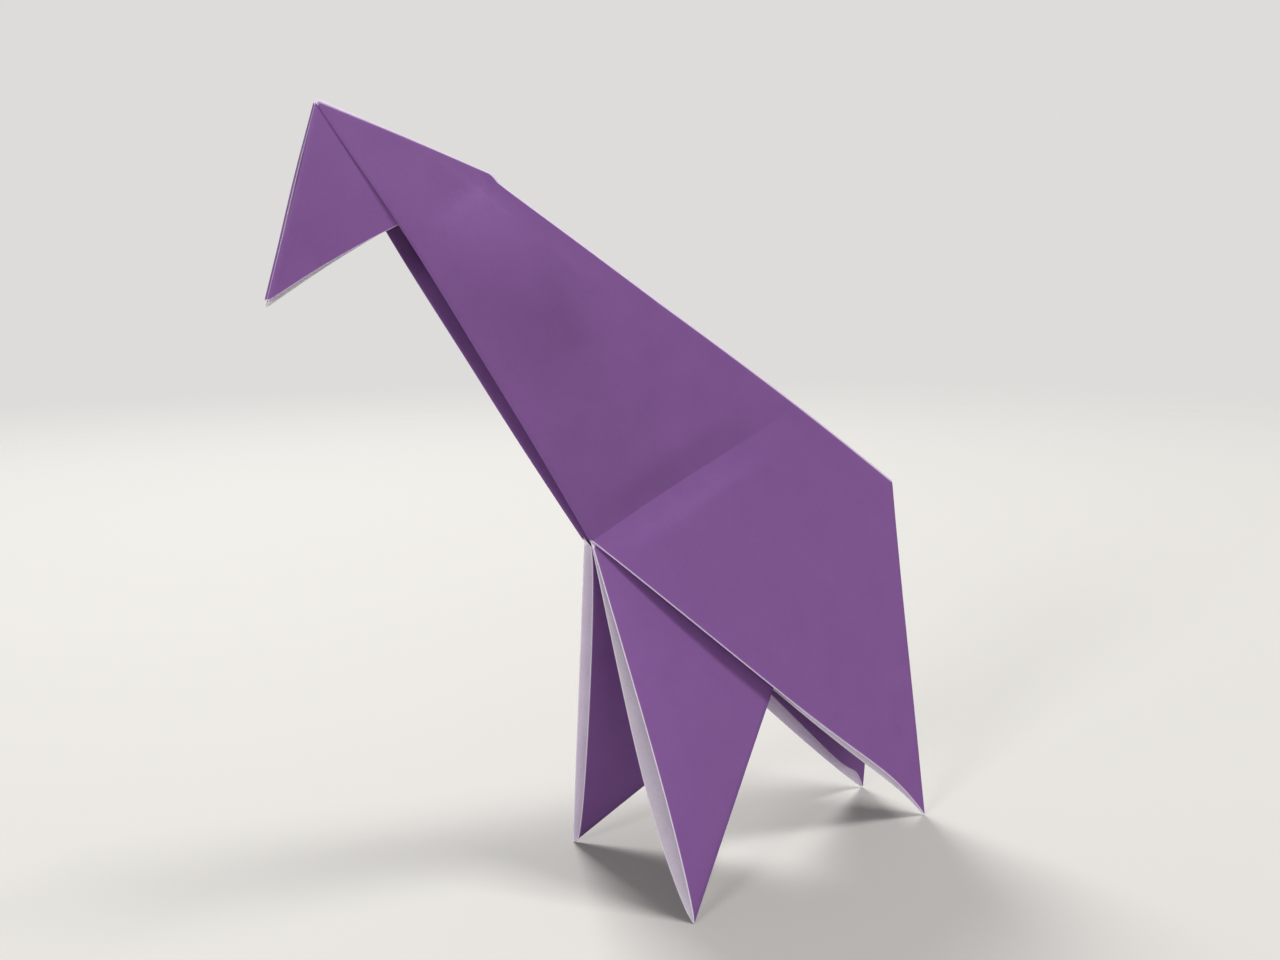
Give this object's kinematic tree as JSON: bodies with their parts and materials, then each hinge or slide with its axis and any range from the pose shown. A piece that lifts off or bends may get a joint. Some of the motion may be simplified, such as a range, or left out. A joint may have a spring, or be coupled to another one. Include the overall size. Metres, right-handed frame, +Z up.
{
  "type": "origami giraffe",
  "caption": "Standing giraffe folded from one square of purple paper with a white reverse, with a raised neck, a head turned down and splayed legs that it stands on.",
  "frame": {"origin": "on the table, midway between the nose and the hind feet, in the plane of symmetry", "axes": "+Z up, -X the way the head points, +Y the animal's right side"},
  "size_m": [0.1147, 0.0384, 0.1243],
  "materials": {
    "purple_paper": "matt uncoated origami paper, purple outside and white inside"
  },
  "bodies": {
    "root": {"folded_sheet": "purple_paper"}
  },
  "joints": []
}
